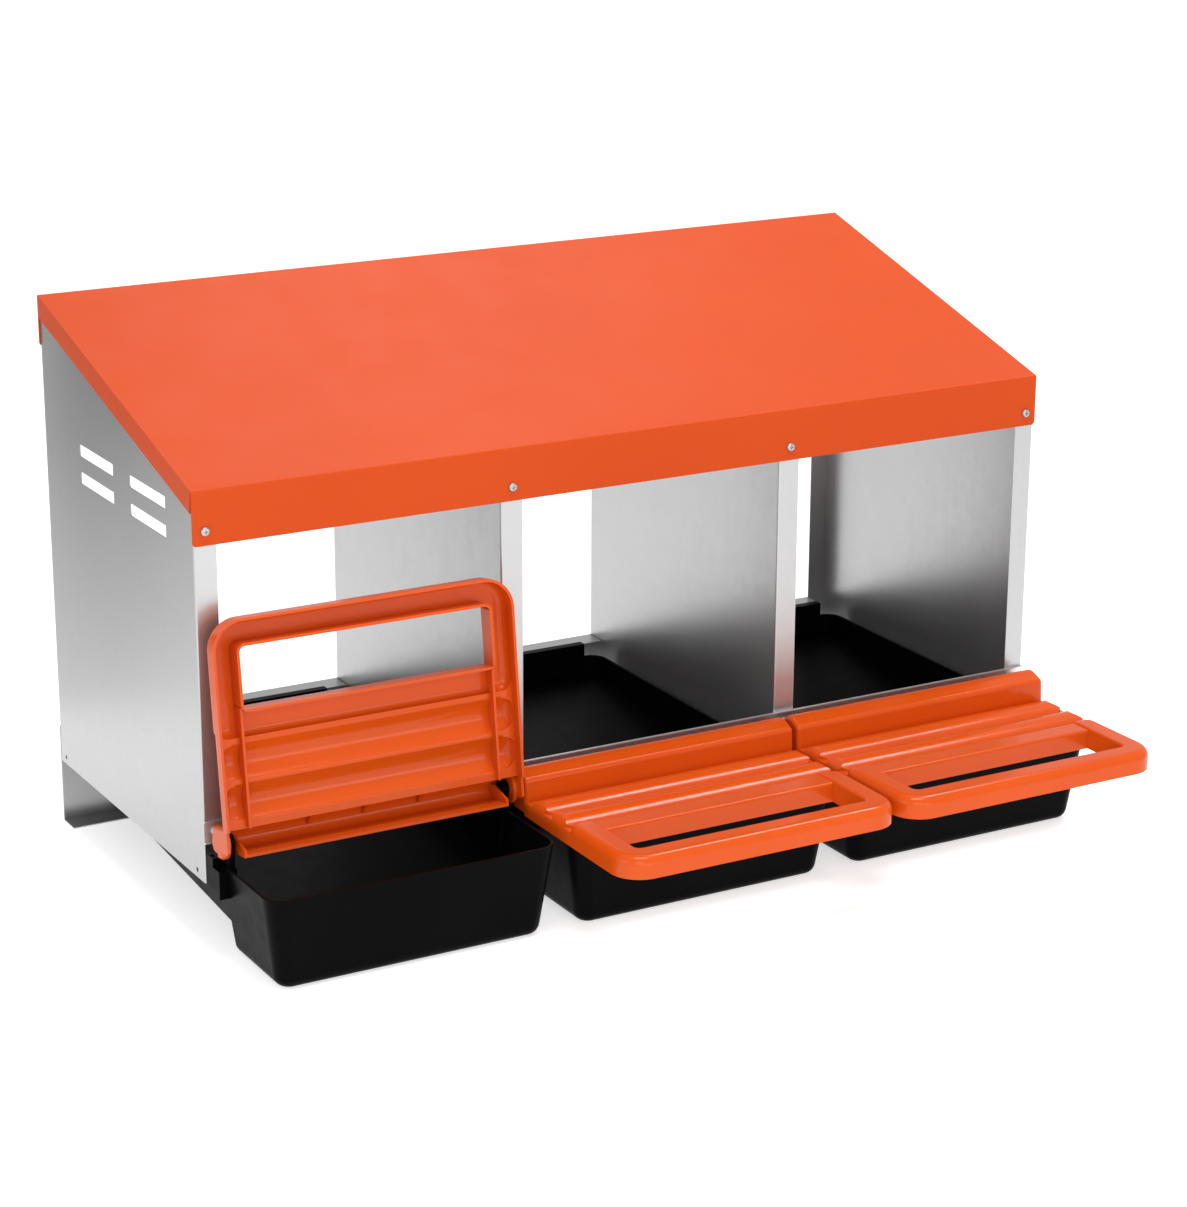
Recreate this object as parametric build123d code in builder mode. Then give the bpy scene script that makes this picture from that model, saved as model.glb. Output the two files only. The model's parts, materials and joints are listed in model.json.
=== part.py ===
from build123d import *
import os
from math import atan2, cos, degrees, radians, sin, tan

os.makedirs("parts", exist_ok=True)

# ---------------------------------------------------------------------------
# Nesting box with three nests.  Millimetres, +Z up, the front faces -Y.
# The origin is on the ground, in the middle of the overall width and depth.
# ---------------------------------------------------------------------------

# --- box -------------------------------------------------------------------
box_w = 866.0            # outside of the left panel to outside of the right panel
box_d = 350.0            # front flange face to rear flange face
n_bays = 3
bay = box_w / n_bays     # pitch of the nests
sheet = 1.0              # sheet metal thickness
panel_z0 = 62.0          # lower edge of the side panels above the ground
flange_side = 20.5       # front and rear flanges of the side panels
flange_div = 21.5        # front and rear flanges of the dividers
bend_r = 1.6             # outside radius of a bend

# --- roof ------------------------------------------------------------------
roof_z_front = 411.0     # top of the roof at its front edge
roof_z_rear = 512.0      # top of the roof at its rear edge
fascia_h = 48.0          # depth of the front fascia
rear_skirt_h = 48.0
side_skirt_h = 21.0
roof_gap = 0.2           # fit between the roof skirts and the box

# --- front rail and rear sill ------------------------------------------------
rail_z0, rail_z1 = 99.0, 119.5
rail_lip = 4.0
sill_h = 97.0
sill_flange = 25.0

# --- trays (offsets along y are from the front face of the box) --------------
tray_wall = 2.5
rim_z = 85.5
rim_w, foot_w = 274.0, 250.0
rim_front, foot_front = -122.0, -112.0
tray_rear = 321.5        # rear face of the tray, just ahead of the sill flange
step_y = -19.0           # where the egg bin drops away from the nest floor
floor_z = 33.4           # underside of the nest floor at the front of the box
floor_slope = 5.6        # degrees, falling to the front
rim_r, foot_r = 17.0, 14.0

# --- hinge -------------------------------------------------------------------
hinge_y, hinge_z = -24.0, 107.0
pin_r = 4.0
pin_play = 0.05
lug_x0, lug_x1 = 9.6, 15.4      # lug, from the side of its bay
open_angle = 97.0

# --- lids --------------------------------------------------------------------
lid_side = 2.4           # gap from the bay line to the lid
lid_w = bay - 2 * lid_side
lid_front = -219.0
lid_z0 = 82.0            # lower edge of the skirt
ear_z0 = 85.0            # lower edge below the ears and the apron
lid_wall = 2.5
groove_z = 94.5          # bottom of the grooves between the slats
slat_z = 101.4           # top of the slats
slat_r = 23.2            # radius of the slats
frame_z = 102.2          # top of the perch frame
web_z = 100.3            # top of the web behind the hand opening
slats = [(-43.0, -76.6), (-78.0, -111.6)]
frame_rear = -113.0
ridge_z = 121.6
hole_y0, hole_y1 = -195.0, -141.0
hole_w = 236.0
ear_t = 6.4
ear_r = 14.8

# --- fasteners ---------------------------------------------------------------
screw_r = 2.0
hole_r = 2.15
head_r, head_h = 4.0, 2.5
nut_af, nut_h = 7.0, 3.2
side_hole_r = 2.25

# --- derived places ------------------------------------------------------------
xl, xr = -box_w / 2, box_w / 2
rear_most = box_d + sheet + head_h + roof_gap
yf = -(rear_most + lid_front) / 2      # front face of the box
yr = yf + box_d
roof_y0, roof_y1 = yf - roof_gap - sheet, yr + roof_gap + sheet
roof_x1 = xr + roof_gap + sheet
roof_slope = (roof_z_rear - roof_z_front) / (roof_y1 - roof_y0)
sheet_v = sheet / cos(atan2(roof_z_rear - roof_z_front, roof_y1 - roof_y0))
div_x = [xl + bay, xl + 2 * bay]
post_x = [xl + 10.2, div_x[0] + 11.0, div_x[1] + 11.0, xr - 10.2]
fascia_screw_z = roof_z_front - fascia_h + 12.5
skirt_screw_z = roof_z_rear - rear_skirt_h + 13.0
rail_screw_z = (rail_z0 + rail_z1) / 2
sill_screw_z = 79.0
hy, hz = yf + hinge_y, hinge_z


def roof_top(y):
    """Height of the roof's upper face at y."""
    return roof_z_front + (y - roof_y0) * roof_slope


def front_plane(y):
    """Sketch plane facing the front, x to the right and y up."""
    return Plane(origin=(0, y, 0), x_dir=(1, 0, 0), z_dir=(0, -1, 0))


def rear_plane(y):
    """Sketch plane facing the rear."""
    return Plane(origin=(0, y, 0), x_dir=(-1, 0, 0), z_dir=(0, 1, 0))


def side_plane(x):
    """Sketch plane across the box: sketch x is depth, sketch y is height."""
    return Plane.YZ.offset(x)


# ---------------------------------------------------------------------------
# Side panels: a flat sheet with the front and rear edges turned inwards
# ---------------------------------------------------------------------------
panel_top = [(yf - 5, roof_top(yf - 5) - sheet_v - 0.4),
             (yr + 5, roof_top(yr + 5) - sheet_v - 0.4),
             (yr + 5, 600), (yf - 5, 600)]
slot_len, slot_h = 81.0, 11.2
slot_y = [yf + 100.5, yf + 220.5]
slot_z = [panel_z0 + 299.0, panel_z0 + 324.5]
side_hole_y = [yf + 17.0, yr - 14.0]
side_hole_z = panel_z0 + 7.0

with BuildPart() as left_side_panel:
    with BuildSketch(Plane.XY.offset(panel_z0)):
        with Locations((xl + sheet / 2, (yf + yr) / 2)):
            Rectangle(sheet, box_d)
        with Locations((xl + flange_side / 2, yr - sheet / 2)):
            Rectangle(flange_side, sheet)
    extrude(amount=520)
    with BuildSketch(Plane.XY.offset(rail_z0)):
        with Locations((xl + flange_side / 2, yf + sheet / 2)):
            Rectangle(flange_side, sheet)
    extrude(amount=480)
    with BuildSketch(side_plane(xl)):
        with BuildLine():
            Polyline(*panel_top, close=True)
        make_face()
    extrude(amount=60, both=True, mode=Mode.SUBTRACT)
    bends = left_side_panel.edges().filter_by(Axis.Z).filter_by_position(Axis.X, xl - 0.01, xl + 0.01)
    fillet(bends.group_by(Axis.Y)[0] + bends.group_by(Axis.Y)[-1], bend_r)
    with BuildSketch(side_plane(xl)):
        with Locations(*[(y, z) for y in slot_y for z in slot_z]):
            RectangleRounded(slot_len, slot_h, 0.8)
        with Locations(*[(y, side_hole_z) for y in side_hole_y]):
            Circle(side_hole_r)
    extrude(amount=3, both=True, mode=Mode.SUBTRACT)
    with BuildSketch(front_plane(yf)):
        with Locations((post_x[0], fascia_screw_z), (post_x[0], rail_screw_z)):
            Circle(hole_r)
    extrude(amount=3, both=True, mode=Mode.SUBTRACT)
    with BuildSketch(front_plane(yr)):
        with Locations((post_x[0], skirt_screw_z), (post_x[0], sill_screw_z)):
            Circle(hole_r)
    extrude(amount=3, both=True, mode=Mode.SUBTRACT)
left_side_panel.part.label = "left_side_panel"
export_step(left_side_panel.part, "parts/left_side_panel.step")

with BuildPart() as right_side_panel:
    mirror(left_side_panel.part, about=Plane.YZ)
right_side_panel.part.label = "right_side_panel"
export_step(right_side_panel.part, "parts/right_side_panel.step")


# ---------------------------------------------------------------------------
# Dividers: sheets between the nests, flanges turned to the right
# ---------------------------------------------------------------------------
def divider_solid(x, screw_x):
    with BuildPart() as divider:
        with BuildSketch(Plane.XY.offset(panel_z0 + 6)):
            with Locations((x + sheet / 2, (yf + yr) / 2)):
                Rectangle(sheet, box_d)
            with Locations((x + flange_div / 2, yr - sheet / 2)):
                Rectangle(flange_div, sheet)
        extrude(amount=520)
        with BuildSketch(Plane.XY.offset(rail_z0)):
            with Locations((x + flange_div / 2, yf + sheet / 2)):
                Rectangle(flange_div, sheet)
        extrude(amount=480)
        with BuildSketch(side_plane(x)):
            with BuildLine():
                Polyline(*panel_top, close=True)
            make_face()
        extrude(amount=60, both=True, mode=Mode.SUBTRACT)
        bends = divider.edges().filter_by(Axis.Z).filter_by_position(Axis.X, x - 0.01, x + 0.01)
        fillet(bends.group_by(Axis.Y)[0] + bends.group_by(Axis.Y)[-1], bend_r)
        with BuildSketch(front_plane(yf)):
            with Locations((screw_x, fascia_screw_z), (screw_x, rail_screw_z)):
                Circle(hole_r)
        extrude(amount=3, both=True, mode=Mode.SUBTRACT)
        with BuildSketch(front_plane(yr)):
            with Locations((screw_x, skirt_screw_z), (screw_x, sill_screw_z)):
                Circle(hole_r)
        extrude(amount=3, both=True, mode=Mode.SUBTRACT)
    return divider.part


for label, x, screw_x in (("left_divider", div_x[0], post_x[1]), ("right_divider", div_x[1], post_x[2])):
    with BuildPart() as one_divider:
        add(divider_solid(x, screw_x))
    one_divider.part.label = label
    export_step(one_divider.part, f"parts/{label}.step")

# ---------------------------------------------------------------------------
# Roof: one folded sheet with a fascia, a rear skirt and two side skirts
# ---------------------------------------------------------------------------
fascia_z0 = roof_z_front - fascia_h
skirt_z0 = roof_z_rear - rear_skirt_h
with BuildPart() as roof:
    with BuildSketch(side_plane(-roof_x1)):
        with BuildLine():
            Polyline((roof_y0, fascia_z0), (roof_y0, roof_z_front), (roof_y1, roof_z_rear), (roof_y1, skirt_z0),
                     (roof_y1 - sheet, skirt_z0), (roof_y1 - sheet, roof_top(roof_y1 - sheet) - sheet_v),
                     (roof_y0 + sheet, roof_top(roof_y0 + sheet) - sheet_v), (roof_y0 + sheet, fascia_z0), close=True)
        make_face()
    extrude(amount=2 * roof_x1)
    # side skirts, with a narrow slit behind the fascia
    for x, way in ((-roof_x1, 1), (roof_x1, -1)):
        with BuildSketch(side_plane(x)):
            with BuildLine():
                a, b = roof_y0 + 2.0, roof_y1
                Polyline((a, roof_top(a)), (b, roof_top(b)), (b, roof_top(b) - side_skirt_h),
                         (a + 2.2, roof_top(a + 2.2) - side_skirt_h), close=True)
            make_face()
        extrude(amount=way * sheet)
    # rounded lower corners of the fascia and the rear skirt
    corners = roof.edges().filter_by(Axis.Y).filter_by(lambda e: e.length < 1.1 and e.center().Z < fascia_z0 + 0.1)
    corners += roof.edges().filter_by(Axis.Y).filter_by(
        lambda e: e.length < 1.1 and abs(e.center().Z - skirt_z0) < 0.1)
    fillet(corners, 3.5)
    folds = roof.edges().filter_by(Axis.X).filter_by(
        lambda e: (abs(e.center().Y - roof_y0) < 0.01 and abs(e.center().Z - roof_z_front) < 0.01)
        or (abs(e.center().Y - roof_y1) < 0.01 and abs(e.center().Z - roof_z_rear) < 0.01))
    fillet(folds, 1.5)
    with BuildSketch(front_plane(roof_y0)):
        with Locations(*[(x, fascia_screw_z) for x in post_x]):
            Circle(hole_r)
    extrude(amount=3, both=True, mode=Mode.SUBTRACT)
    with BuildSketch(front_plane(roof_y1)):
        with Locations(*[(x, skirt_screw_z) for x in post_x]):
            Circle(hole_r)
    extrude(amount=3, both=True, mode=Mode.SUBTRACT)
roof.part.label = "roof"
export_step(roof.part, "parts/roof.step")

# ---------------------------------------------------------------------------
# Rear sill: a channel across the back; the lower flange is the rear foot
# ---------------------------------------------------------------------------
with BuildPart() as rear_sill:
    with BuildSketch(side_plane(xl)):
        with BuildLine():
            Polyline((yr + sheet, 0), (yr + sheet, sill_h), (yr - sill_flange, sill_h),
                     (yr - sill_flange, sill_h - sheet), (yr, sill_h - sheet), (yr, sheet),
                     (yr - sill_flange, sheet), (yr - sill_flange, 0), close=True)
        make_face()
    extrude(amount=box_w)
    fillet(rear_sill.edges().filter_by(Axis.X).filter_by_position(Axis.Y, yr + sheet - 0.01, yr + sheet + 0.01), bend_r)
    # the upper flange is cut away where the panels and dividers pass
    with BuildSketch(Plane.XY.offset(sill_h)):
        for x0, x1 in ((xl - 1, xl + flange_side + 0.8), (div_x[0] - 0.8, div_x[0] + flange_div + 0.8),
                       (div_x[1] - 0.8, div_x[1] + flange_div + 0.8), (xr - flange_side - 0.8, xr + 1)):
            with Locations(((x0 + x1) / 2, yr - sill_flange / 2)):
                Rectangle(x1 - x0, sill_flange)
    extrude(amount=4, both=True, mode=Mode.SUBTRACT)
    with BuildSketch(front_plane(yr)):
        with Locations(*[(x, sill_screw_z) for x in post_x]):
            Circle(hole_r)
    extrude(amount=3, both=True, mode=Mode.SUBTRACT)
rear_sill.part.label = "rear_sill"
export_step(rear_sill.part, "parts/rear_sill.step")

# ---------------------------------------------------------------------------
# Front rail: a shallow channel across the front flanges
# ---------------------------------------------------------------------------
with BuildPart() as front_rail:
    with BuildSketch(side_plane(xl)):
        with BuildLine():
            Polyline((yf, rail_z0), (yf, rail_z1), (yf - rail_lip, rail_z1), (yf - rail_lip, rail_z1 - sheet),
                     (yf - sheet, rail_z1 - sheet), (yf - sheet, rail_z0 + sheet), (yf - rail_lip, rail_z0 + sheet),
                     (yf - rail_lip, rail_z0), close=True)
        make_face()
    extrude(amount=box_w)
    fillet(front_rail.edges().filter_by(Axis.X).filter_by_position(Axis.Y, yf - 0.01, yf + 0.01), bend_r)
    with BuildSketch(front_plane(yf)):
        with Locations(*[(x, rail_screw_z) for x in post_x]):
            Circle(hole_r)
    extrude(amount=3, both=True, mode=Mode.SUBTRACT)
front_rail.part.label = "front_rail"
export_step(front_rail.part, "parts/front_rail.step")


# ---------------------------------------------------------------------------
# Trays: egg bin in front, sloped nest floor behind, hinge pins on two lugs
# ---------------------------------------------------------------------------
ramp = tan(radians(floor_slope))


def floor_under(y):
    """Height of the nest floor's underside; y from the front face of the box."""
    return floor_z + y * ramp


def tray_block(xc, inset, z0, step, lift, foot_round):
    """Tapered block with the floor wedge cut off below; inset 0 is the outside."""
    z1 = rim_z if inset == 0 else rim_z + 3.0
    k = 1.0 if inset == 0 else (rim_z + 3.0) / rim_z
    k0 = z0 / rim_z
    w0 = foot_w + (rim_w - foot_w) * k0 - 2 * inset
    w1 = foot_w + (rim_w - foot_w) * k - 2 * inset
    f0 = yf + foot_front + (rim_front - foot_front) * k0 + inset
    f1 = yf + foot_front + (rim_front - foot_front) * k + inset
    back = yf + tray_rear - inset
    with BuildPart() as block:
        with BuildSketch(Plane.XY.offset(z0)):
            with Locations((xc, (f0 + back) / 2)):
                RectangleRounded(w0, back - f0, foot_r - inset * 0.6)
        with BuildSketch(Plane.XY.offset(z1)):
            with Locations((xc, (f1 + back) / 2)):
                RectangleRounded(w1, back - f1, rim_r - inset * 0.6)
        loft()
        with BuildSketch(side_plane(xc - 200)):
            with BuildLine():
                ys = yf + step
                Polyline((ys - 1.5, -10), (ys, floor_under(step) + lift), (yf + 400, floor_under(400) + lift),
                         (yf + 400, -10), close=True)
            make_face()
        extrude(amount=400, mode=Mode.SUBTRACT)
        low = block.faces().sort_by(Axis.Z)[0]
        fillet(low.edges(), foot_round)
    return block.part


def tray_solid(i):
    x0 = xl + i * bay
    xc = x0 + bay / 2
    outside = tray_block(xc, 0.0, 0.0, step_y, 0.0, 11.0)
    inside = tray_block(xc, tray_wall, tray_wall, step_y - tray_wall, tray_wall, 9.0)
    with BuildPart() as tray:
        add(outside)
        add(inside, mode=Mode.SUBTRACT)
        # hook over the sill flange
        with BuildSketch(side_plane(xc - 120)):
            with BuildLine():
                y = yf + tray_rear
                Polyline((y, 76), (y, sill_h), (yr - sill_flange + 2.5, sill_h), (yr - sill_flange + 2.5, sill_h + 1.8),
                         (y - tray_wall, sill_h + 1.8), (y - tray_wall, 76), close=True)
            make_face()
        extrude(amount=240)
        for s in (-1, 1):
            side = xc + s * bay / 2
            # lug with its stem, down to the nest floor
            with BuildSketch(side_plane(side - s * lug_x0)):
                with Locations((hy, hz)):
                    Circle(7.2)
                with BuildLine():
                    Polyline((hy - 6.0, hz), (hy + 6.0, hz), (hy + 7.0, 70), (hy - 7.0, 70), close=True)
                make_face()
            extrude(amount=-s * (lug_x1 - lug_x0))
            # two ribs that carry the lug down the inside of the tapered wall
            for y_rib, z_foot in ((hy - 3.7, 14.0), (hy + 6.7, 38.0)):
                w_foot = (foot_w + (rim_w - foot_w) * z_foot / rim_z) / 2
                w_head = (foot_w + (rim_w - foot_w) * 84.0 / rim_z) / 2
                with BuildSketch(front_plane(y_rib)):
                    with BuildLine():
                        Polyline((xc + s * (w_foot - 1.0), z_foot), (xc + s * (w_head - 1.0), 84.0),
                                 (side - s * 16.6, 84.0), (xc + s * (w_foot - 6.5), z_foot), close=True)
                    make_face()
                extrude(amount=3.0)
            # hinge pin
            with BuildSketch(side_plane(side - s * (lug_x0 + 1))):
                with Locations((hy, hz)):
                    Circle(pin_r)
            extrude(amount=s * 6.2)
            # hanger block ahead of the panel's lower edge: tall behind, low in front, two slots and a leg
            with BuildSketch(side_plane(side - s * 1.2)):
                with BuildLine():
                    Polyline((yf - 1.5, 62.5), (yf - 1.5, 90.0), (yf - 15.0, 90.0), (yf - 15.0, 82.0), (yf - 28.5, 82.0),
                             (yf - 28.5, 56.5), (yf - 25.0, 56.5), (yf - 25.0, 62.5), close=True)
                make_face()
            extrude(amount=-s * 11.2)
            with BuildSketch(Plane.XY.offset(91)):
                with Locations((side - s * 4.0, yf - 8.5), (side - s * 4.0, yf - 20.5)):
                    Rectangle(3.2, 6.0)
            extrude(amount=-24.0, mode=Mode.SUBTRACT)
    return tray.part


# ---------------------------------------------------------------------------
# Lids: two slats with rounded ends, perch frame with a hand opening, ridge and
# apron at the rear, ears with blind bores that turn on the tray's pins
# ---------------------------------------------------------------------------
def slab(xc, w, y_rear, y_front, r_rear, r_front, z0, z1, top_r):
    """Plate with rounded upright edges and a rounded upper edge."""
    with BuildPart() as plate:
        with BuildSketch(Plane.XY.offset(z0)) as plan:
            with Locations((xc, yf + (y_rear + y_front) / 2)):
                Rectangle(w, y_rear - y_front)
            fillet(plan.vertices().group_by(Axis.Y)[0], r_front)
            fillet(plan.vertices().group_by(Axis.Y)[-1], r_rear)
        extrude(amount=z1 - z0)
        fillet(plate.faces().sort_by(Axis.Z)[-1].edges(), top_r)
    return plate.part


def slat_wave(xc, inset, z0, r_end, r_foot, y_rear, y_front):
    """Base plate with its two round slats, the ends rounded down to the sides."""
    w = lid_w - 2 * inset
    r = slat_r - inset
    top = slat_z - inset
    foot = groove_z - inset
    with BuildPart() as wave:
        with BuildSketch(side_plane(xc)) as profile:
            with Locations((yf + (y_rear + y_front) / 2, (z0 + foot) / 2)):
                Rectangle(y_rear - y_front, foot - z0)
            for a, b in slats:
                with BuildSketch(mode=Mode.PRIVATE) as crest:
                    with Locations((yf + (a + b) / 2, top - r)):
                        Circle(r)
                    with Locations((yf + (a + b) / 2, (z0 + top) / 2 + 1)):
                        Rectangle(a - b, top - z0, mode=Mode.INTERSECT)
                add(crest.sketch)
            corners = [v for v in profile.vertices() if abs(v.Y - foot) < 0.05 and yf - 113 < v.X < yf - 42]
            fillet(corners, r_foot)
        extrude(amount=w / 2, both=True)
        with BuildSketch(front_plane(yf - 20)) as ends:
            with Locations((xc, (z0 + top) / 2)):
                Rectangle(w, top - z0)
            fillet(ends.vertices().group_by(Axis.Y)[-1], r_end)
        extrude(amount=130, mode=Mode.INTERSECT)
        # round the four corners of each slat, seen from above
        r_plan = 14.0 - inset
        with BuildSketch(Plane.XY.offset(foot)):
            with Locations((xc - w / 2 + r_plan / 2 - 1, yf - 77.3), (xc + w / 2 - r_plan / 2 + 1, yf - 77.3)):
                Rectangle(r_plan + 2, 69.0)
            for a, b in slats:
                with Locations((xc, yf + (a + b) / 2)):
                    RectangleRounded(w, a - b - 2 * inset, r_plan, mode=Mode.SUBTRACT)
        extrude(amount=top - foot + 1, mode=Mode.SUBTRACT)
    return wave.part


def perch_frame(xc):
    """Front part of the lid: arms and front bar, with the lower web behind the opening."""
    with BuildPart() as frame:
        add(slab(xc, lid_w, frame_rear, lid_front, 12.0, 28.0, lid_z0, frame_z, 9.0))
        with BuildSketch(Plane.XY.offset(lid_z0 - 1)) as gap:
            with Locations((xc, yf + (hole_y0 + frame_rear + 20) / 2)):
                Rectangle(hole_w, frame_rear + 20 - hole_y0)
            fillet(gap.vertices().group_by(Axis.Y)[0], 5.0)
        extrude(amount=60, mode=Mode.SUBTRACT)
        top = frame.edges().filter_by_position(Axis.Z, frame_z - 0.01, frame_z + 0.01)
        fillet([e for e in top if abs(e.center().X - xc) < hole_w / 2 + 0.01 and e.center().Y > yf + hole_y0 - 0.01], 2.8)
    with BuildPart() as web:
        with BuildSketch(Plane.XY.offset(lid_z0)):
            with Locations((xc, yf + (frame_rear + hole_y1) / 2)):
                Rectangle(hole_w + 1.0, frame_rear - hole_y1)
        extrude(amount=web_z - lid_z0)
        along = web.edges().filter_by(Axis.X).group_by(Axis.Z)[-1].sort_by(Axis.Y)
        fillet(along[0], 2.4)
        along = web.edges().filter_by(Axis.X).sort_by(Axis.Y)[-2:].sort_by(Axis.Z)
        fillet(along[-1], 8.5)
        add(frame.part)
    return web.part


def lid_core(xc):
    """Hollow of the lid, open below."""
    t = lid_wall
    z0 = lid_z0 - 8
    with BuildPart() as core:
        add(slat_wave(xc, t, z0, 9.5, 2.6, -36.0, -130.0))
        add(slab(xc, lid_w - 2 * t, frame_rear - t, lid_front + t, 9.5, 25.5, z0, frame_z - t, 6.5))
        with BuildSketch(Plane.XY.offset(groove_z - t)):
            with Locations((xc, yf + (hole_y1 + frame_rear) / 2)):
                Rectangle(hole_w + 2 * t, frame_rear - hole_y1)
        extrude(amount=20, mode=Mode.SUBTRACT)
        with BuildPart(mode=Mode.PRIVATE) as trough:
            with BuildSketch(Plane.XY.offset(z0)):
                with Locations((xc, yf + (hole_y1 + t + frame_rear - t) / 2)):
                    Rectangle(hole_w + 2 * t, frame_rear - hole_y1 - 2 * t)
            extrude(amount=web_z - t - z0)
            along = trough.edges().filter_by(Axis.X).group_by(Axis.Z)[-1].sort_by(Axis.Y)
            fillet(along[0], 4.0)
            along = trough.edges().filter_by(Axis.X).sort_by(Axis.Y)[-2:].sort_by(Axis.Z)
            fillet(along[-1], 5.0)
        add(trough.part)
        with BuildSketch(Plane.XY.offset(z0 - 1)):
            with Locations((xc, yf + (hole_y0 + hole_y1) / 2)):
                RectangleRounded(hole_w + 2 * t, hole_y1 - hole_y0 + 2 * t, 7.5)
        extrude(amount=60, mode=Mode.SUBTRACT)
    return core.part


def ridge_block(xc):
    """Rounded ridge over the hinge with the apron behind it, still solid."""
    with BuildPart() as block:
        with BuildSketch(side_plane(xc - lid_w / 2)) as profile:
            with BuildLine():
                Polyline((yf - 40.0, groove_z - lid_wall), (yf - 38.4, ridge_z - 5.6), (yf - 25.0, ridge_z - 0.2),
                         (yf - 12.6, ridge_z + 0.6), (yf - 12.5, groove_z - lid_wall), close=True)
            make_face()
            crown = profile.vertices().sort_by(Axis.X)
            fillet([v for v in crown if yf - 26 < v.X < yf - 24], 14.0)
            crown = profile.vertices().sort_by(Axis.X)
            fillet([v for v in crown if v.X < yf - 30 and v.Y > groove_z + 5], 5.0)
            crown = profile.vertices().sort_by(Axis.X)
            fillet([v for v in crown if v.X > yf - 20 and v.Y > groove_z + 5], 9.0)
        extrude(amount=lid_w)
        ends = [e for e in block.edges() if abs(abs(e.center().X - xc) - lid_w / 2) < 0.01 and e.center().Z > groove_z]
        fillet(ends, 4.0)
        with BuildSketch(Plane.XY.offset(ear_z0 + 1)):
            with Locations((xc, yf - 13.75)):
                Rectangle(lid_w - 20, lid_wall)
        extrude(amount=15.0)
    return block.part


def lid_solid(i):
    x0 = xl + i * bay
    xc = x0 + bay / 2
    with BuildPart() as outer:
        add(slat_wave(xc, 0.0, lid_z0, 12.0, 2.2, -37.5, -130.5))
        add(perch_frame(xc))
    block = ridge_block(xc)
    with BuildPart() as ribs:
        # two ribs from the opening to the ridge; they rest on the tray rim
        for s in (-1, 1):
            with BuildSketch(side_plane(xc + s * hole_w / 2)):
                with BuildLine():
                    Polyline((yf - 37.5, rim_z + 0.4), (yf + hole_y1 - 1, rim_z + 0.4), (yf + hole_y1 - 1, 130),
                             (yf - 37.5, 130), close=True)
                make_face()
            extrude(amount=s * 2.2)
        add(outer.part, mode=Mode.INTERSECT)
    with BuildPart() as lid:
        add(outer.part)
        add(lid_core(xc), mode=Mode.SUBTRACT)
        add(ribs.part)
        add(block)
        with BuildSketch(side_plane(xc - lid_w / 2 + lid_wall)) as hollow:
            with BuildLine():
                Polyline((yf - 37.2, lid_z0 - 5), (yf - 35.8, ridge_z - 7.6), (yf - 24.6, ridge_z - 2.8),
                         (yf - 15.1, ridge_z - 2.2), (yf - 15.0, lid_z0 - 5), close=True)
            make_face()
            crown = hollow.vertices()
            fillet([v for v in crown if v.Y > hz and v.X < yf - 30], 3.4)
            crown = hollow.vertices()
            fillet([v for v in crown if v.Y > hz and v.X > yf - 20], 7.0)
        extrude(amount=lid_w - 2 * lid_wall, mode=Mode.SUBTRACT)
        for s in (-1, 1):
            edge = xc + s * lid_w / 2
            # room for the lug at each end of the apron
            with BuildSketch(side_plane(edge + s)):
                with BuildLine():
                    Polyline((yf - 22.0, lid_z0 - 3), (yf - 22.0, hz + 10.5), (yf - 5, hz + 10.5), (yf - 5, lid_z0 - 3),
                             close=True)
                make_face()
            extrude(amount=-s * 16.5, mode=Mode.SUBTRACT)
            # ear: round below the pin, inside the rounded ridge above it
            with BuildPart(mode=Mode.PRIVATE) as ear:
                with BuildSketch(side_plane(edge)):
                    with Locations((hy, hz)):
                        Circle(ear_r)
                extrude(amount=-s * ear_t)
                fillet(ear.edges().filter_by_position(Axis.X, edge - 0.01, edge + 0.01), 4.0)
            with BuildPart(mode=Mode.PRIVATE) as upper:
                add(ear.part)
                add(block, mode=Mode.INTERSECT)
            with BuildPart(mode=Mode.PRIVATE) as lower:
                add(ear.part)
                with BuildSketch(Plane.XY.offset(hz + 1.0)):
                    with Locations((edge, hy)):
                        Rectangle(60, 60)
                extrude(amount=40, mode=Mode.SUBTRACT)
            add(upper.part)
            add(lower.part)
            # the skirt runs on below the ear
            with BuildSketch(side_plane(edge)):
                with BuildLine():
                    Polyline((yf - 38.0, ear_z0), (yf - 19.0, ear_z0), (yf - 17.0, ear_z0 + 3), (yf - 17.0, hz - 8),
                             (yf - 38.0, groove_z - 0.5), close=True)
                make_face()
            extrude(amount=-s * lid_wall)
            with BuildSketch(side_plane(edge - s * 1.9)):
                with Locations((hy, hz)):
                    Circle(pin_r + pin_play)
            extrude(amount=-s * 10.0, mode=Mode.SUBTRACT)
            # cheek that closes the end of the apron
            with BuildSketch(side_plane(edge - s * 15.6)):
                with BuildLine():
                    Polyline((yf - 13.2, ear_z0 + 1), (yf - 19.0, ear_z0 + 1), (yf - 27.0, hz + 3), (yf - 27.0, ridge_z - 3.0),
                             (yf - 16.0, ridge_z - 4.0), close=True)
                make_face()
            extrude(amount=-s * 2.2)
        # small gussets inside the ridge
        for gx in (-53.0, 0.0, 53.0):
            with BuildSketch(side_plane(xc + gx - 1.0)):
                with BuildLine():
                    Polyline((yf - 34.0, ridge_z - 5.4), (yf - 22.0, ridge_z - 1.6), (yf - 24.5, ridge_z - 7.0), (yf - 31.0, ridge_z - 12.0),
                             close=True)
                make_face()
            extrude(amount=2.0)
    return lid.part


names = ("left", "centre", "right")
for i, side_name in enumerate(names):
    with BuildPart() as nest_tray:
        add(tray_solid(i))
    nest_tray.part.label = f"nest_tray_{side_name}"
    export_step(nest_tray.part, f"parts/nest_tray_{side_name}.step")

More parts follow.
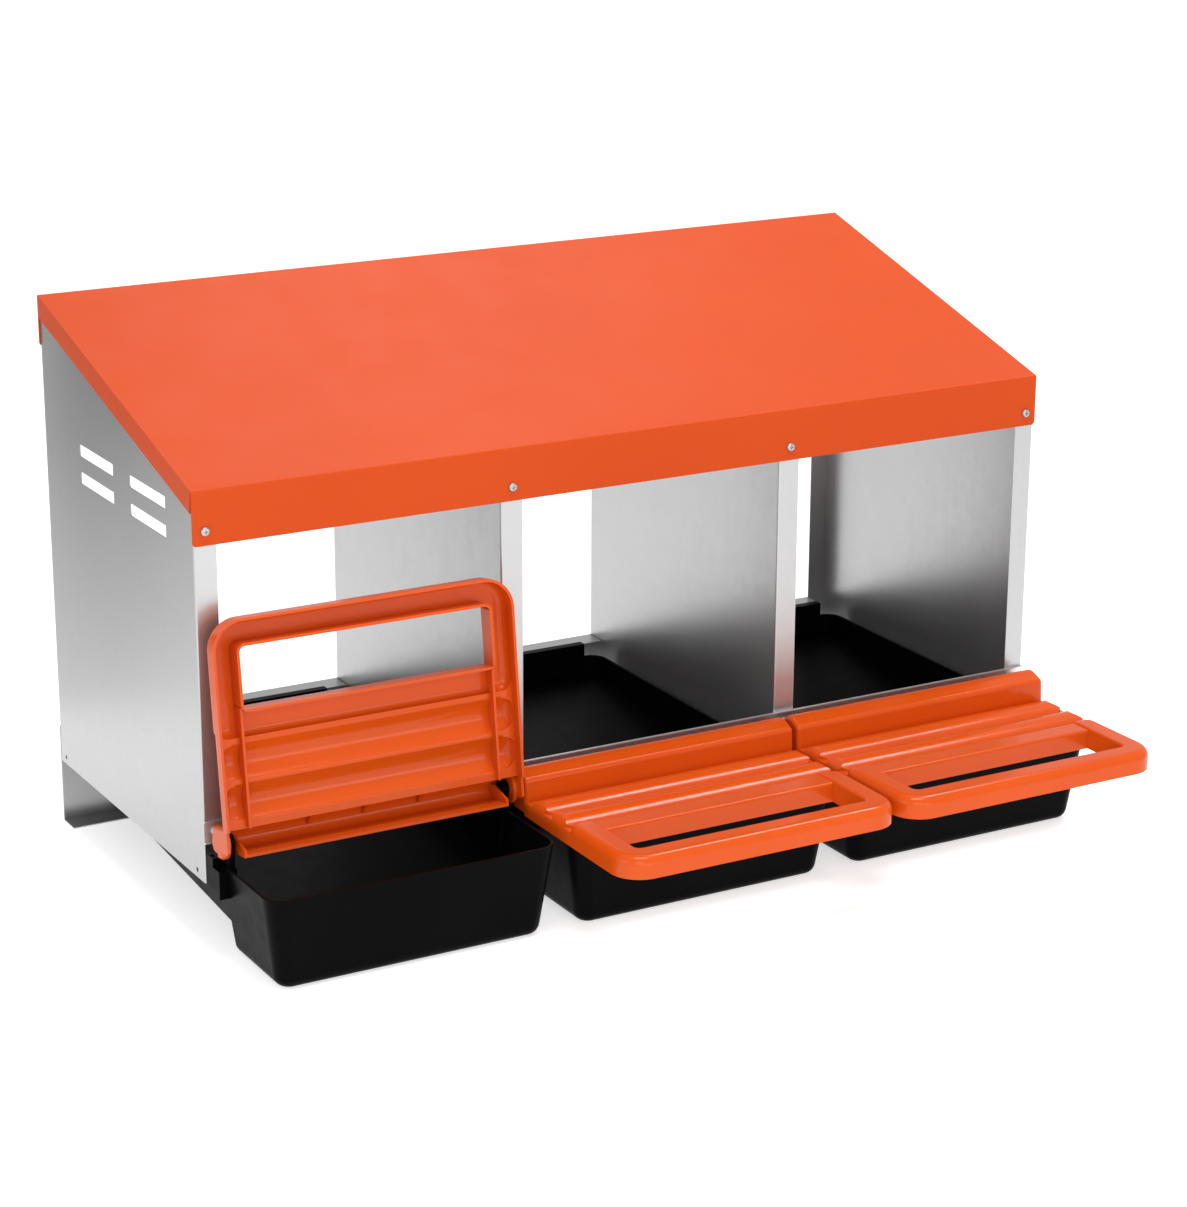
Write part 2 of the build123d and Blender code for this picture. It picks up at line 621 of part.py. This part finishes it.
for i, side_name in enumerate(names):
    closed = lid_solid(i)
    # the left lid rests open, leaning against the box
    turned = closed.rotate(Axis((0, hy, hz), (-1, 0, 0)), open_angle) if i == 0 else closed
    with BuildPart() as perch_lid:
        add(turned)
    perch_lid.part.label = f"perch_lid_{side_name}"
    export_step(perch_lid.part, f"parts/perch_lid_{side_name}.step")


# ---------------------------------------------------------------------------
# Fasteners: pan head screws with a cross recess, and hexagon nuts
# ---------------------------------------------------------------------------
def screw_group(spots, y, plane_at, shank):
    """Screws whose heads sit on the plane at y."""
    way = 1 if plane_at is front_plane else -1
    with BuildPart() as group:
        for x, z in spots:
            with BuildSketch(plane_at(y)):
                with Locations((way * x, z)):
                    Circle(head_r)
            extrude(amount=head_h)
        tops = group.edges().filter_by(GeomType.CIRCLE).group_by(Axis.Y)
        fillet(tops[0] if way == 1 else tops[-1], 1.6)
        for x, z in spots:
            with BuildSketch(plane_at(y)):
                with Locations((way * x, z)):
                    Circle(screw_r)
            extrude(amount=-shank)
        for x, z in spots:
            with BuildSketch(plane_at(y - way * head_h)):
                with Locations((way * x, z)):
                    Rectangle(4.2, 0.9)
                    Rectangle(0.9, 4.2)
            extrude(amount=-1.3, mode=Mode.SUBTRACT)
    return group.part


def nut_group(spots, y, plane_at):
    """Nuts whose outer faces point along the plane's normal."""
    way = 1 if plane_at is front_plane else -1
    with BuildPart() as group:
        with BuildSketch(plane_at(y)):
            with Locations(*[(way * x, z) for x, z in spots]):
                RegularPolygon(nut_af / 2, 6, major_radius=False)
                Circle(screw_r + 0.03, mode=Mode.SUBTRACT)
        extrude(amount=nut_h)
    return group.part


fascia_spots = [(x, fascia_screw_z) for x in post_x]
skirt_spots = [(x, skirt_screw_z) for x in post_x]
rail_spots = [(x, rail_screw_z) for x in post_x]
sill_spots = [(x, sill_screw_z) for x in post_x]
groups = (
    ("roof_front_screws", screw_group(fascia_spots, roof_y0, front_plane, 9.0)),
    ("roof_front_nuts", nut_group(fascia_spots, yf + sheet, rear_plane)),
    ("roof_rear_screws", screw_group(skirt_spots, roof_y1, rear_plane, 9.0)),
    ("roof_rear_nuts", nut_group(skirt_spots, yr - sheet, front_plane)),
    ("rail_screws", screw_group(rail_spots, yf - sheet, front_plane, 9.0)),
    ("rail_nuts", nut_group(rail_spots, yf + sheet, rear_plane)),
    ("sill_screws", screw_group(sill_spots, yr + sheet, rear_plane, 9.0)),
    ("sill_nuts", nut_group(sill_spots, yr - sheet, front_plane)),
)
for label, solid in groups:
    with BuildPart() as fasteners:
        add(solid)
    fasteners.part.label = label
    export_step(fasteners.part, f"parts/{label}.step")
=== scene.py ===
import json
import math

import bmesh
import bpy
from mathutils import Matrix, Vector

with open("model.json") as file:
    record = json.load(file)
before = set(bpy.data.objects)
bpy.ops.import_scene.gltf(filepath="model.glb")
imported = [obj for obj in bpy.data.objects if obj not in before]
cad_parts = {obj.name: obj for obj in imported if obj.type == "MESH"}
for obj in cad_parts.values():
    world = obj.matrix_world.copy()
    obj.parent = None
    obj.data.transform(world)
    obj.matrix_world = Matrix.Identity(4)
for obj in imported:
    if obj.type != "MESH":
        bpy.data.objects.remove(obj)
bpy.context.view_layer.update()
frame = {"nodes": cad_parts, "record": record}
nodes = frame["nodes"]
scene = bpy.context.scene

# ---------------------------------------------------------------------------
# Materials
# ---------------------------------------------------------------------------


def new_material(name):
    m = bpy.data.materials.new(name)
    m.use_nodes = True
    nt = m.node_tree
    nt.nodes.clear()
    out = nt.nodes.new("ShaderNodeOutputMaterial")
    bsdf = nt.nodes.new("ShaderNodeBsdfPrincipled")
    nt.links.new(bsdf.outputs["BSDF"], out.inputs["Surface"])
    return m, nt, bsdf


def coords(nt, scale=(1, 1, 1)):
    tc = nt.nodes.new("ShaderNodeTexCoord")
    mp = nt.nodes.new("ShaderNodeMapping")
    mp.inputs["Scale"].default_value = scale
    nt.links.new(tc.outputs["Object"], mp.inputs["Vector"])
    return mp.outputs["Vector"]


def noise(nt, vec, scale, detail=3.0, rough=0.55):
    n = nt.nodes.new("ShaderNodeTexNoise")
    n.inputs["Scale"].default_value = scale
    n.inputs["Detail"].default_value = detail
    n.inputs["Roughness"].default_value = rough
    nt.links.new(vec, n.inputs["Vector"])
    return n.outputs["Fac"]


def ramp(nt, fac, stops):
    r = nt.nodes.new("ShaderNodeValToRGB")
    e = r.color_ramp.elements
    e[0].position, e[0].color = stops[0][0], (*stops[0][1], 1)
    e[1].position, e[1].color = stops[-1][0], (*stops[-1][1], 1)
    for p, c in stops[1:-1]:
        x = e.new(p)
        x.color = (*c, 1)
    nt.links.new(fac, r.inputs["Fac"])
    return r.outputs["Color"]


def spread(nt, fac, lo, hi, a=0.3, b=0.7):
    r = nt.nodes.new("ShaderNodeMapRange")
    r.inputs["From Min"].default_value = a
    r.inputs["From Max"].default_value = b
    r.inputs["To Min"].default_value = lo
    r.inputs["To Max"].default_value = hi
    nt.links.new(fac, r.inputs["Value"])
    return r.outputs["Result"]


def mix_math(nt, a, b, op="ADD"):
    n = nt.nodes.new("ShaderNodeMath")
    n.operation = op
    for s, v in zip(n.inputs, (a, b)):
        if isinstance(v, (int, float)):
            s.default_value = v
        else:
            nt.links.new(v, s)
    return n.outputs["Value"]


def bump(nt, bsdf, height, strength, distance):
    b = nt.nodes.new("ShaderNodeBump")
    b.inputs["Strength"].default_value = strength
    b.inputs["Distance"].default_value = distance
    nt.links.new(height, b.inputs["Height"])
    nt.links.new(b.outputs["Normal"], bsdf.inputs["Normal"])


def galvanised(name, tone=1.0, gloss=0.27):
    """Rolled zinc sheet: faint spangle, a slow cloud and fine rolling lines."""
    m, nt, bsdf = new_material(name)
    v = coords(nt)
    cells = nt.nodes.new("ShaderNodeTexVoronoi")
    cells.inputs["Scale"].default_value = 120.0
    cells.inputs["Randomness"].default_value = 1.0
    warp = nt.nodes.new("ShaderNodeTexNoise")
    warp.inputs["Scale"].default_value = 60.0
    nt.links.new(v, warp.inputs["Vector"])
    add = nt.nodes.new("ShaderNodeVectorMath")
    add.operation = "MULTIPLY_ADD"
    add.inputs[1].default_value = (0.006, 0.006, 0.006)
    nt.links.new(warp.outputs["Color"], add.inputs[0])
    nt.links.new(v, add.inputs[2])
    nt.links.new(add.outputs["Vector"], cells.inputs["Vector"])
    grey = nt.nodes.new("ShaderNodeSeparateColor")
    nt.links.new(cells.outputs["Color"], grey.inputs["Color"])
    streak = noise(nt, coords(nt, (260.0, 260.0, 3.0)), 1.0, 4.0)
    cloud = noise(nt, v, 3.0, 2.0)
    f = mix_math(nt, mix_math(nt, grey.outputs["Red"], 0.12, "MULTIPLY"), mix_math(nt, cloud, 0.88, "MULTIPLY"))
    col = ramp(nt, f, [(0.25, (0.455 * tone, 0.457 * tone, 0.460 * tone)), (0.75, (0.490 * tone, 0.491 * tone, 0.493 * tone))])
    nt.links.new(col, bsdf.inputs["Base Color"])
    bsdf.inputs["Metallic"].default_value = 0.85
    bsdf.inputs["Specular IOR Level"].default_value = 0.3
    r = mix_math(nt, spread(nt, grey.outputs["Green"], gloss, gloss + 0.03, 0.0, 1.0), mix_math(nt, streak, 0.05, "MULTIPLY"))
    nt.links.new(r, bsdf.inputs["Roughness"])
    bump(nt, bsdf, mix_math(nt, streak, mix_math(nt, grey.outputs["Blue"], 0.3, "MULTIPLY")), 0.03, 0.0003)
    return m


def painted(name, deep, light):
    """Powder coat: slow tone change, fine orange peel."""
    m, nt, bsdf = new_material(name)
    v = coords(nt)
    cloud = noise(nt, v, 4.0, 3.0)
    fine = noise(nt, v, 700.0, 2.0)
    nt.links.new(ramp(nt, cloud, [(0.3, deep), (0.7, light)]), bsdf.inputs["Base Color"])
    nt.links.new(spread(nt, noise(nt, v, 22.0, 4.0), 0.34, 0.42), bsdf.inputs["Roughness"])
    bsdf.inputs["Specular IOR Level"].default_value = 0.11
    bump(nt, bsdf, fine, 0.05, 0.0003)
    return m


def moulded(name, deep, light, rough, grain, level):
    """Moulded plastic: slow tone change, moulding grain, uneven gloss."""
    m, nt, bsdf = new_material(name)
    v = coords(nt)
    cloud = noise(nt, v, 9.0, 3.0)
    nt.links.new(ramp(nt, cloud, [(0.3, deep), (0.7, light)]), bsdf.inputs["Base Color"])
    nt.links.new(spread(nt, noise(nt, v, 60.0, 4.0), rough[0], rough[1]), bsdf.inputs["Roughness"])
    bsdf.inputs["Specular IOR Level"].default_value = level
    bump(nt, bsdf, noise(nt, v, 900.0, 2.0), grain, 0.0002)
    return m


steel = galvanised("galvanised_sheet")
roof_paint = painted("roof_powder_coat", (0.512, 0.054, 0.0042), (0.536, 0.059, 0.0050))
lid_plastic = moulded("lid_gloss_plastic", (0.572, 0.068, 0.0042), (0.606, 0.075, 0.0050), (0.14, 0.20), 0.012, 0.22)
tray_plastic = moulded("tray_black_plastic", (0.0014, 0.0014, 0.0015), (0.0026, 0.0025, 0.0026), (0.30, 0.40), 0.05, 0.03)
zinc = galvanised("zinc_fastener", 0.9, 0.34)
# front rail: the same galvanised sheet at 1.5 times the tone, a lighter copy whose brightness is a painted highlight
# standing in for the lit top edge of the rail
rail_steel_painted_highlight = galvanised("rail_sheet_painted_highlight", 1.5, 0.34)

by_slot = {"galvanised_steel": steel, "roof_paint": roof_paint, "lid_plastic": lid_plastic,
           "tray_plastic": tray_plastic, "fastener_steel": zinc}
slot_of = {s["node"]: s["material_slot"] for s in frame["record"]["subparts"]}
# the front rail gets the lighter copy of the steel (painted highlight); every other node gets its slot's material
for n, o in nodes.items():
    o.data.materials.clear()
    o.data.materials.append(rail_steel_painted_highlight if n == "front_rail" else by_slot[slot_of[n]])

# ---------------------------------------------------------------------------
# Floor, light and camera
# ---------------------------------------------------------------------------
bm = bmesh.new()
bmesh.ops.create_grid(bm, x_segments=1, y_segments=1, size=30.0)
me = bpy.data.meshes.new("floor")
bm.to_mesh(me)
bm.free()
floor = bpy.data.objects.new("floor", me)
scene.collection.objects.link(floor)
fm, fnt, fb = new_material("floor_pale")
fb.inputs["Base Color"].default_value = (0.72, 0.72, 0.72, 1)
fb.inputs["Roughness"].default_value = 0.9
fb.inputs["Emission Color"].default_value = (1.0, 1.0, 1.0, 1)
fb.inputs["Emission Strength"].default_value = 0.60
fb.inputs["Specular IOR Level"].default_value = 0.1
me.materials.append(fm)

# white backdrop all round, so that low views show no edge of the floor
bm = bmesh.new()
bmesh.ops.create_uvsphere(bm, u_segments=64, v_segments=32, radius=28.0)
me = bpy.data.meshes.new("backdrop")
bm.to_mesh(me)
bm.free()
backdrop = bpy.data.objects.new("backdrop", me)
scene.collection.objects.link(backdrop)
wm, wnt, wb = new_material("backdrop_white")
wb.inputs["Base Color"].default_value = (0.0, 0.0, 0.0, 1)
wb.inputs["Specular IOR Level"].default_value = 0.0
wb.inputs["Emission Color"].default_value = (1.0, 1.0, 1.0, 1)
wb.inputs["Emission Strength"].default_value = 1.1
wm.cycles.emission_sampling = "NONE"
me.materials.append(wm)
backdrop.visible_diffuse = False
backdrop.visible_glossy = False
backdrop.visible_transmission = False
backdrop.visible_shadow = False

# graded studio card to the left and behind, seen only in reflections
bm = bmesh.new()
bmesh.ops.create_grid(bm, x_segments=1, y_segments=1, size=0.5)
me = bpy.data.meshes.new("studio_card")
bm.to_mesh(me)
bm.free()
card = bpy.data.objects.new("studio_card", me)
card.scale = (0.45, 0.6, 1.0)
card.location = (-0.733, 0.488, 0.302)
card.rotation_mode = "QUATERNION"
card.rotation_quaternion = Vector((0.47, -0.83, 0.0)).to_track_quat("Z", "Y")
scene.collection.objects.link(card)
cm, cnt, cb = new_material("card_graded")
cb.inputs["Base Color"].default_value = (0.0, 0.0, 0.0, 1)
cb.inputs["Specular IOR Level"].default_value = 0.0
cb.inputs["Emission Color"].default_value = (1.0, 1.0, 1.0, 1)
fall = cnt.nodes.new("ShaderNodeVectorMath")
fall.operation = "DOT_PRODUCT"
fall.inputs[1].default_value = (-0.95, -1.50, 0.0)
cnt.links.new(coords(cnt), fall.inputs[0])
cnt.links.new(spread(cnt, fall.outputs["Value"], 0.12, 1.25, -0.42, 0.76), cb.inputs["Emission Strength"])
me.materials.append(cm)
card.visible_camera = False
card.visible_diffuse = False
card.visible_shadow = False

world = bpy.data.worlds.new("studio")
scene.world = world
world.use_nodes = True
bg = world.node_tree.nodes["Background"]
bg.inputs["Color"].default_value = (1.0, 1.0, 1.0, 1)
bg.inputs["Strength"].default_value = 0.68


def area(name, loc, target, size, power, size_y=None):
    d = bpy.data.lights.new(name, "AREA")
    d.shape = "RECTANGLE"
    d.size = size
    d.size_y = size_y or size
    d.energy = power
    o = bpy.data.objects.new(name, d)
    o.location = loc
    o.rotation_mode = "QUATERNION"
    o.rotation_quaternion = (Vector(target) - Vector(loc)).to_track_quat("-Z", "Y")
    scene.collection.objects.link(o)
    return o


area("top", (-0.1, -0.6, 2.5), (0, -0.1, 0.3), 1.2, 27, 0.7)
area("front", (-1.5, -3.0, 1.5), (0, 0, 0.25), 1.6, 22)
area("front_low", (0.4, -3.2, 0.55), (0, 0, 0.2), 2.0, 15, 0.7)
area("right_top", (1.2, 0.2, 2.2), (0.15, -0.25, 0.1), 0.28, 16, 0.9)
area("left", (-3.2, -0.5, 1.3), (-0.3, 0.0, 0.3), 1.4, 12, 0.9)
area("rear_right", (0.95, 1.8, 2.4), (-0.3, 0.2, 0.48), 1.1, 7)

cam = bpy.data.cameras.new("camera")
cam.lens = 93.751
cam.sensor_width = 36.0
cam.clip_end = 200.0
co = bpy.data.objects.new("camera", cam)
scene.collection.objects.link(co)
right = Vector((0.869997, -0.493042, 0.003855)).normalized()
ahead = Vector((0.471287, 0.829260, -0.300362)).normalized()
up = right.cross(ahead).normalized()
rot = Matrix((right, up, -ahead)).transposed()
co.matrix_world = Matrix.Translation((-1.380302, -2.406639, 1.103405)) @ rot.to_4x4()
scene.camera = co
scene.view_settings.view_transform = "Standard"
